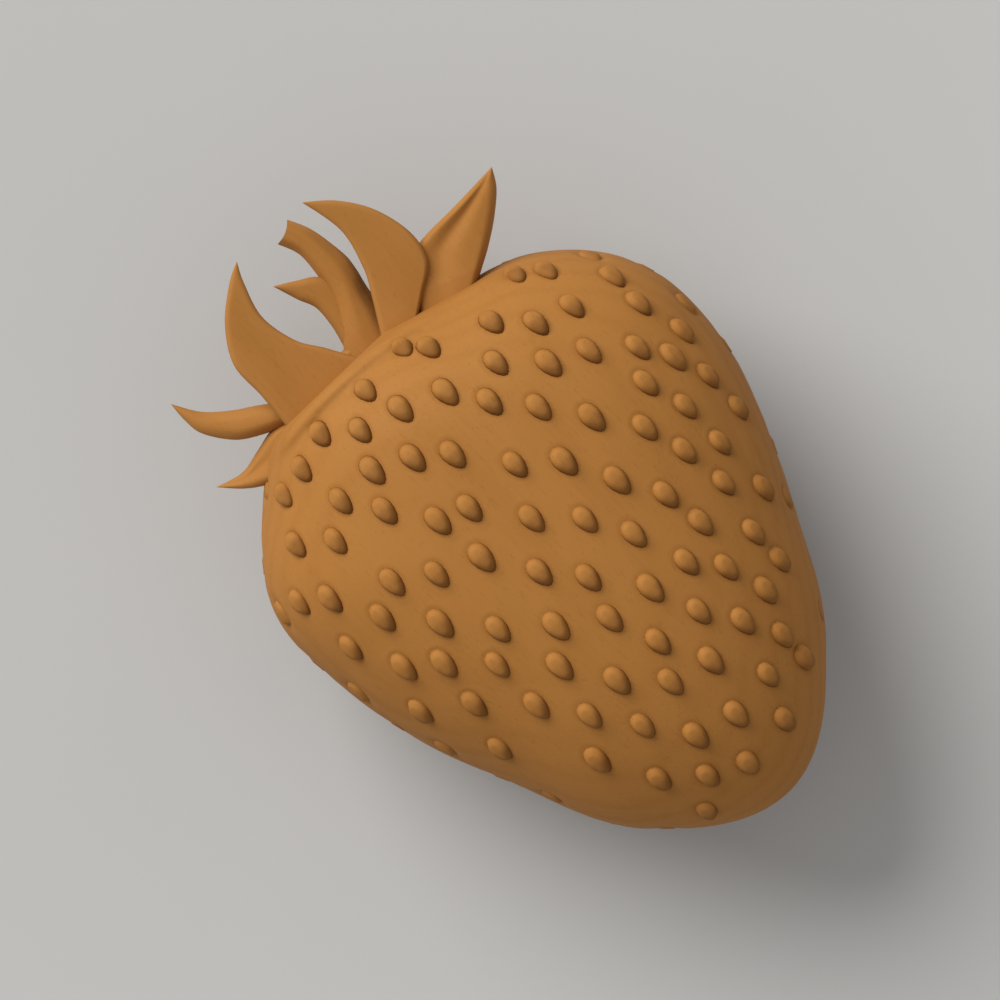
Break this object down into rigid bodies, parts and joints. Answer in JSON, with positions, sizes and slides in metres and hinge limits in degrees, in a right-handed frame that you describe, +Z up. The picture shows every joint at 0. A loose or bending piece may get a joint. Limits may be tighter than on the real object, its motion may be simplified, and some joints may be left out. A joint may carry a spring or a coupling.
{
  "type": "carved wooden strawberry",
  "caption": "Life-size carved wooden strawberry with raised seeds, curling sepals and a short cut stem, lying on a small flat spot.",
  "frame": {"origin": "on the flat spot that the fruit rests on, straight below its thickest point", "axes": "+X from the calyx to the fruit's tip, +Z up through the front face"},
  "size_m": [0.0612, 0.0419, 0.0276],
  "materials": {
    "fruit_wood": "oiled, satin-matt",
    "calyx_wood": "oiled, satin-matt"
  },
  "bodies": {
    "root": {"fruit": "fruit_wood", "calyx_hub": "calyx_wood", "sepal_upper": "calyx_wood", "sepal_front_right": "calyx_wood", "sepal_front_left": "calyx_wood", "sepal_lower_left": "calyx_wood", "sepal_lower": "calyx_wood", "sepal_back_upper": "calyx_wood", "sepal_back_right": "calyx_wood", "sepal_back_left": "calyx_wood", "stem": "calyx_wood", "stem_bract": "calyx_wood"}
  },
  "joints": []
}
